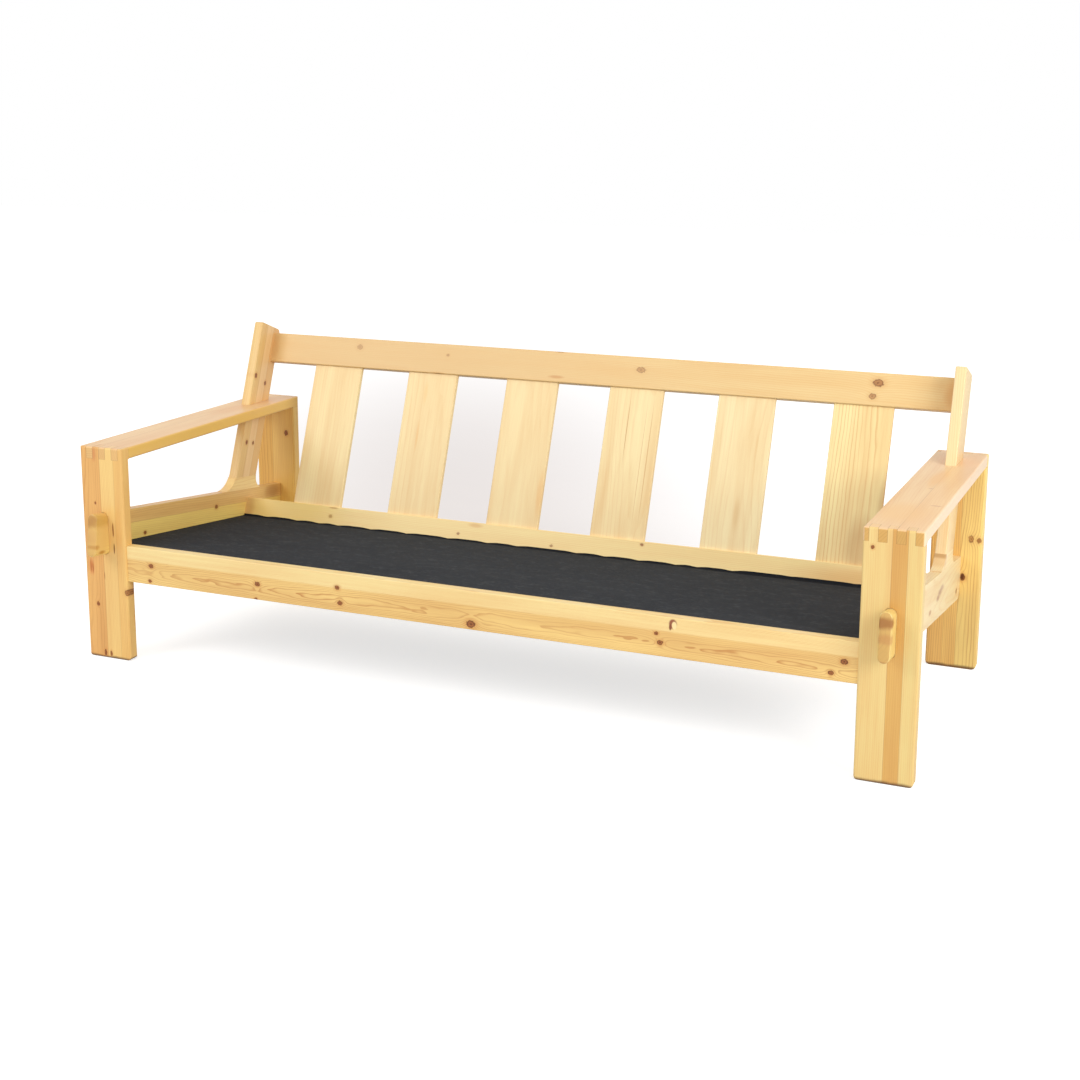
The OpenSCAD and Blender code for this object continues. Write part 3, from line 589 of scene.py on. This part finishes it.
# Each slat's pale and dark wood, its lines' strength, its pith and its marks
slat_tones = [
    (srgb(250, 226, 167), HONEY, 0.16, (0.30, 0.25), ()),
    (srgb(250, 224, 166), HONEY, 0.20, (0.03, 0.16),
     ((-0.020, -0.03, 0.06, 0.006, srgb(240, 190, 122), 0.6),
      (-0.014, 0.09, 0.05, 0.010, srgb(244, 200, 130), 0.5))),
    (srgb(249, 224, 167), HONEY, 0.16, (-0.02, 0.20),
     ((0.068, -0.16, 0.09, 0.012, srgb(240, 190, 120), 0.6),)),
    (srgb(252, 230, 174), HONEY, 0.22, (0.06, 0.12),
     ((-0.0125, 0.04, 0.12, 0.0016, srgb(196, 138, 80), 0.75),
      (0.053, -0.05, 0.22, 0.0022, srgb(206, 150, 90), 0.6),
      (0.036, -0.05, 0.22, 0.0014, srgb(214, 160, 98), 0.5))),
    (srgb(253, 234, 182), HONEY, 0.26, (0.02, 0.10),
     ((0.010, -0.16, 0.07, 0.014, srgb(226, 186, 128), 0.5),)),
    # The sixth slat has the right armrest's shadow painted on its lower part
    (srgb(252, 231, 168), FLAME, 0.66, (0.060, 0.055),
     ((0.030, -0.21, 0.10, 0.055, ARM_PAINTED_SHADOW, 0.55), (0.072, -0.12, 0.10, 0.015, ARM_PAINTED_SHADOW, 0.4))),
]
for number, (pale, dark, lines, pith, marks) in enumerate(slat_tones, 1):
    low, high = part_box(f"slat_{number}")
    middle = (low[0] + high[0]) / 2
    finishes[f"slat_{number}"] = pine(
        f"slat_pine_{number}", on_back(middle, 0) + POST_AFT * SLAT_V, POST_LONG, X, pale=pale,
        dark=dark, seed=number * 2.7, pith=pith, tilt=(0.02, 0.0), pace=0.0065, lines=lines,
        wander=0.012, stains_and_painted_light=at(lambda c, u, m=middle: on_back(m + c, u), *marks))

for number, (name, along, across) in enumerate([
        ("front_cleat", X, Z), ("rear_cleat", X, POST_LONG),
        ("left_side_cleat", SEAT_LONG, SEAT_UP), ("right_side_cleat", SEAT_LONG, SEAT_UP)]):
    finishes[name] = pine(
        f"batten_pine_{name}", SEAT_START, along, across, pale=BATTEN, dark=BATTEN_DARK,
        seed=11 + number * 3.1, pith=(-0.05, 0.06), pace=0.0035, lines=0.75, rough=0.62)

finishes["post_dowels"] = pine(
    "dowel_beech", RAIL_START, RAIL_UP, RAIL_LONG, pale=srgb(222, 180, 136),
    dark=srgb(186, 138, 96), seed=13.0, pace=0.0016, lines=0.3, rough=0.55)
finishes["seat_springs"] = steel("spring_steel_drawn", (132, 134, 138), 0.34, X)
finishes["spring_clips"] = steel("clip_steel_zinc", (196, 198, 200), 0.42, Y)
finishes["cleat_screws"] = steel("screw_steel_zinc", (206, 200, 176), 0.36, Z)
finishes["seat_cloth"] = deck_cloth()

for name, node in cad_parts.items():
    for slot in node.material_slots:
        slot.material = finishes[name]


# New pieces ---------------------------------------------------------------------------------

def shown(name, data):
    """A new object in the scene."""
    made = bpy.data.objects.new(name, data)
    bpy.context.scene.collection.objects.link(made)
    return made


def shown_mesh(name, bm, material):
    """A new object in the scene, with the mesh of bm and a material."""
    mesh = bpy.data.meshes.new(name)
    bm.to_mesh(mesh)
    bm.free()
    mesh.materials.append(material)
    return shown(name, mesh)


def piece(name, bm, node):
    """A finished mesh that stands for one node of the frame and has its finish."""
    bmesh.ops.recalc_face_normals(bm, faces=bm.faces)
    made = shown_mesh(name, bm, finishes[node])
    made.data.shade_smooth()
    made.data.set_sharp_from_angle(angle=radians(32))
    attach(made, "root")
    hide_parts(node)
    return made


def arc(centre, radius, first, last, steps):
    """Points on an arc in a side view, as depth and height."""
    turn = [first + (last - first) * k / steps for k in range(steps + 1)]
    return [(centre.y + radius * cos(t), centre.z + radius * sin(t)) for t in turn]


def grow(bm, face, way):
    """A face drawn out along a way. Gives the corners of its far end."""
    grown = bmesh.ops.extrude_face_region(bm, geom=[face])["geom"]
    far = [g for g in grown if isinstance(g, bmesh.types.BMVert)]
    bmesh.ops.translate(bm, verts=far, vec=way)
    return far


def eased(bm, edges, width):
    """Rounds the edges."""
    bmesh.ops.bevel(bm, geom=list(edges), offset=width, offset_type="OFFSET", segments=3,
                    profile=0.5, affect="EDGES", material=-1, clamp_overlap=True)


def side_board(side, outline, ease, joint):
    """A side view made into a board of the side piece, with its edges eased except on a joint."""
    bm = bmesh.new()
    face = bm.faces.new([bm.verts.new((side * SIDE_IN, y, z)) for y, z in outline])
    grow(bm, face, (side * SIDE_T, 0, 0))
    eased(bm, [e for e in bm.edges if abs(e.verts[0].co.x - e.verts[1].co.x) < 1e-6
               and not (joint(e.verts[0].co) and joint(e.verts[1].co))], ease)
    return bm


def meet(lift, aft):
    """Place that is lift above the side rail's top line and aft behind the post's front face."""
    k = aft + (BACK_START - RAIL_START).dot(POST_AFT)
    up = (lift - k * POST_AFT.dot(RAIL_UP)) / POST_LONG.dot(RAIL_UP)
    return RAIL_START + POST_AFT * k + POST_LONG * up


def above_rail(place):
    return (place - RAIL_START).dot(RAIL_UP)


def arc_turn(radius, height):
    """Turn from an arc's foot to the given height above the rail."""
    return acos((radius - height) / radius)


# The fillets' middles, and their turns at the rail, at the knee block's top and at the post
front_arc = meet(KNEE_FRONT_R, -KNEE_FRONT_R)
rear_arc = meet(KNEE_REAR_R, POST_D + KNEE_REAR_R)
DOWN = -pi / 2 - RAIL_FALL
front_low = DOWN + arc_turn(KNEE_FRONT_R, KNEE_THIN)
front_cut = DOWN + arc_turn(KNEE_FRONT_R, KNEE_H)
front_high = -POST_LEAN
rear_low = DOWN + 2 * pi - arc_turn(KNEE_REAR_R, KNEE_THIN)
rear_cut = DOWN + 2 * pi - arc_turn(KNEE_REAR_R, KNEE_H)
rear_high = pi - POST_LEAN


def at_seam(place):
    """Whether a place lies where the knee block meets the post."""
    return abs(above_rail(place) - KNEE_H) < 0.0004


def toe(centre, radius, end):
    """Place on the rail straight below an arc's end, as depth and height."""
    along = (Vector((0, *end)) - centre).dot(RAIL_LONG)
    place = centre + RAIL_LONG * along - RAIL_UP * radius
    return place.y, place.z


def knee(side):
    """The strip glued on the rail, with the feet of both fillets."""
    front = arc(front_arc, KNEE_FRONT_R, front_low, front_cut, 14)
    rear = arc(rear_arc, KNEE_REAR_R, rear_cut, rear_low, 16)
    outline = [toe(front_arc, KNEE_FRONT_R, front[0]), *front, *rear,
               toe(rear_arc, KNEE_REAR_R, rear[-1])]
    return side_board(side, outline, KNEE_EASE,
                      lambda p: above_rail(p) < 1.2 * KNEE_THIN or at_seam(p))


def post(side):
    """The leaning post, from the knee block's top to its two round corners."""
    top_front = BACK_START + POST_LONG * POST_TOP
    top_rear = top_front + POST_AFT * POST_D
    outline = arc(front_arc, KNEE_FRONT_R, front_cut, front_high, 7)
    outline += arc(top_front + (POST_AFT - POST_LONG) * POST_FRONT_R, POST_FRONT_R,
                   pi - POST_LEAN, pi / 2 - POST_LEAN, 4)
    outline += arc(top_rear - (POST_AFT + POST_LONG) * POST_REAR_R, POST_REAR_R,
                   pi / 2 - POST_LEAN, -POST_LEAN, 6)
    outline += arc(rear_arc, KNEE_REAR_R, rear_high, rear_cut, 2)
    return side_board(side, outline, RAIL_EASE, at_seam)


TENON_STEPS = 16


def side_rail(side):
    """The rail between the legs, and its tenon through the front leg."""
    fall = tan(RAIL_FALL)
    y0, y1 = FRONT_LEG, REAR_LEG

    def top(y):
        return RAIL_TOP - (y + MID_Y) * fall

    drop = RAIL_H / cos(RAIL_FALL)
    cy = y1 - RAIL_CORNER
    cz = top(cy) - drop + RAIL_CORNER / cos(RAIL_FALL)
    outline = [(y0, top(y0) - drop), (y0, top(y0)), (y1, top(y1))]
    outline += arc(Vector((0, cy, cz)), RAIL_CORNER, 0.0, DOWN, 8)
    bm = side_board(side, outline, RAIL_EASE, lambda p: abs(p.y - y0) < 1e-5 or (
        abs(p.y - y1) < 1e-5 and p.z > cz + 0.001))

    # The tenon, with its round ends
    half, reach = SIDE_T / 2, (RAIL_H - SIDE_T) / 2
    tip = (RAIL_H / 2 * sin(RAIL_FALL) - TENON_OUT) / cos(RAIL_FALL)
    start = RAIL_START + RAIL_LONG * tip - RAIL_UP * (RAIL_H / 2) + X * side * (SIDE_IN + half)
    ring = []
    for middle, turn in ((reach, 0.0), (-reach, pi)):
        for k in range(TENON_STEPS + 1):
            t = turn + pi * k / TENON_STEPS
            ring.append(start + X * half * cos(t) + RAIL_UP * (middle + half * sin(t)))
    end = bm.faces.new([bm.verts.new(p) for p in ring])
    way = RAIL_LONG * (2 * BOARD_T - tip)
    root = grow(bm, end, way)
    # It draws in a hair on its way back, so that none of its faces shares a plane with the rail's
    bmesh.ops.scale(bm, verts=root, vec=(TENON_ROOT,) * 3,
                    space=Matrix.Translation(-(start + way)))
    eased(bm, end.edges, TENON_EASE)
    return bm


for side, word in ((-1, "left"), (1, "right")):
    piece(f"{word}_side_rail_eased", side_rail(side), f"{word}_side_rail")
    piece(f"{word}_knee_block_eased", knee(side), f"{word}_knee_block")
    piece(f"{word}_back_post_eased", post(side), f"{word}_back_post")


def hem_height(x):
    """Height of the cloth's turned-up rear edge."""
    low = max(i for i, (place, _) in enumerate(HEM_LINE[:-1]) if place <= x)
    (x0, rise0), (x1, rise1) = HEM_LINE[low:low + 2]
    height = rise0 + (rise1 - rise0) * (x - x0) / (x1 - x0)
    pulled = max(0.0, 1 - min(abs(x - place) for place in PULLS) / PULL_REACH)
    return height - (PULL_LEFT if x < PULL_CHANGE else PULL_RIGHT) * pulled ** 1.3


def seat_sheet():
    """The cloth on the springs, turned up against the rear rail with a scalloped edge."""
    width = 2 * (SIDE_IN - CLOTH_GAP)
    # Where the seat's top meets the plane just in front of the rear rail
    k = REAR_RAIL_V - CLOTH_GAP + (BACK_START - SEAT_START).dot(POST_AFT)
    corner = POST_AFT * k - POST_LONG * (k * POST_AFT.dot(SEAT_UP) / POST_LONG.dot(SEAT_UP))
    length = corner.dot(SEAT_LONG)
    bent, bottom = (SEAT_START + SEAT_LONG * way for way in (length - CLOTH_BEND, length))
    bay = 2 * (SIDE_IN - SPRING_EDGE) / SPRINGS

    bm = bmesh.new()
    columns, rows, turned = 280, 60, 5
    bmesh.ops.create_grid(bm, x_segments=columns, y_segments=rows + turned, size=0.5)
    for vert in bm.verts:
        x = vert.co.x * width
        row = round((vert.co.y + 0.5) * (rows + turned))
        if row <= rows:
            # Springs carry the cloth in low ridges, and it dips a little between them
            t = row / rows
            wave = 0.5 - 0.5 * cos(2 * pi * x / bay)
            free = min(1.0, t / DIP_PART, (1 - t) / DIP_PART, (width / 2 - abs(x)) / DIP_SIDE)
            dip = (DIP + DIP_BETWEEN * wave) * max(0.0, free)
            place = SEAT_START + SEAT_LONG * (length - CLOTH_BEND) * t - SEAT_UP * dip
        else:
            # It bends up in a curve, and ends at the hem's height
            t = (row - rows) / turned
            edge = bottom + POST_LONG * hem_height(x)
            place = bent * (1 - t) ** 2 + bottom * 2 * t * (1 - t) + edge * t * t
        vert.co = Vector((x, place.y, place.z)) - SEAT_UP * SINK
    made = piece("seat_deck_cloth", bm, "seat_cloth")
    wall = made.modifiers.new("thickness", "SOLIDIFY")
    wall.thickness = CLOTH_T
    wall.offset = -1.0
    return made, (width, length + HEM / 2)


cloth, cut_size = seat_sheet()


# Studio -------------------------------------------------------------------------------------

def lamp(name, place, aim, width, height, power):
    data = bpy.data.lights.new(name, "AREA")
    data.shape = "RECTANGLE"
    data.size, data.size_y = width, height
    data.energy = power
    made = shown(name, data)
    made.location = place
    made.rotation_euler = (Vector(aim) - Vector(place)).to_track_quat("-Z", "Y").to_euler()


lamp("softbox_left", (-3.4, -4.2, 3.6), (0, 0, 0.3), 2.8, 2.8, 98)
lamp("softbox_right", (4.2, -2.2, 2.4), (0.5, 0, 0.3), 2.4, 2.4, 115)

# The air is white to the camera and in reflections, and dimmer as a light
bpy.context.scene.world = bpy.data.worlds.new("studio_air")
air = Finish(bpy.context.scene.world)
clear = air.ray("Camera").most(air.ray("Transmission")).most(air.ray("Glossy"))
level = air.node("ShaderNodeMapRange", values={"Value": clear, "To Min": 0.70, "To Max": 1.0})
light = air.node("ShaderNodeBackground", values={"Color": WHITE, "Strength": level})
air.node("ShaderNodeOutputWorld", values={"Surface": light})

# The painted dim patch of the backdrop: its middle, its long way, its half length and width, and
# its tone
DIM_SPOT, DIM_WAY = Vector((-0.97, 1.57, 0)), Vector((-0.45, 0.893, 0))
DIM_LONG, DIM_WIDE, DIM = 3.2, 1.05, srgb(112, 85, 72)


def floor_finish():
    """White studio floor. Where the camera sees it, it is lifted to white and keeps its shadow."""
    f = Finish(bpy.data.materials.new("studio_floor"))
    place = f.place()
    x, y = f.along(place, Vector(), X), f.along(place, Vector(), Y)
    scuff = f.noise(x * 2.0, y * 5.0, 0.0, 4.0)
    tone = f.mix((scuff * 0.5 + 0.1).most(0.0), srgb(236, 236, 236), srgb(228, 229, 230))
    # The backdrop is painted dim behind the sofa's left half, where the slats leave it in view
    long = f.along(place, DIM_SPOT, DIM_WAY) / DIM_LONG
    wide = f.along(place, DIM_SPOT, DIM_WAY.cross(Z)) / DIM_WIDE
    dim = (long * long + wide * wide).root().ease(1.8, 0.0) * y.ease(0.5, 1.3) * 0.44
    tone = f.mix(dim, tone, DIM)
    glare = f.mix(dim, WHITE, DIM)
    lit = f.node("ShaderNodeBsdfDiffuse", values={"Color": tone, "Roughness": 0.0})
    glow = f.node("ShaderNodeEmission", values={
        "Color": glare, "Strength": f.ray("Camera") * 0.60})
    both = f.node("ShaderNodeAddShader", values={0: lit, 1: glow})
    # From below the floor is clear, so that the underside shows
    under = f.node("ShaderNodeNewGeometry", output="Backfacing")
    clear = f.node("ShaderNodeMixShader", values={
        0: under, 1: both, 2: f.node("ShaderNodeBsdfTransparent")})
    f.node("ShaderNodeOutputMaterial", values={"Surface": clear})
    return f.owner


# The floor lies a hair below the feet
FLOOR_HALF, FLOOR_Z = 14, -0.0003
bm = bmesh.new()
bmesh.ops.create_grid(bm, x_segments=1, y_segments=1, size=FLOOR_HALF)
bmesh.ops.translate(bm, verts=bm.verts, vec=(0, 0, FLOOR_Z))
ground = shown_mesh("studio_floor", bm, floor_finish())

view = bpy.data.cameras.new("camera")
view.lens, view.sensor_width = 55.403, 36.0
view.shift_x, view.shift_y = 0.01006, -0.10013
camera = shown("camera", view)
camera.matrix_world = (Matrix.Translation((1.61972, -3.67007, 1.39957))
                       @ Matrix.Rotation(radians(23.69), 4, "Z")
                       @ Matrix.Rotation(radians(78.72), 4, "X")
                       @ Matrix.Rotation(radians(0.09), 4, "Z"))
bpy.context.scene.camera = camera
bpy.context.scene.view_settings.view_transform = "Standard"
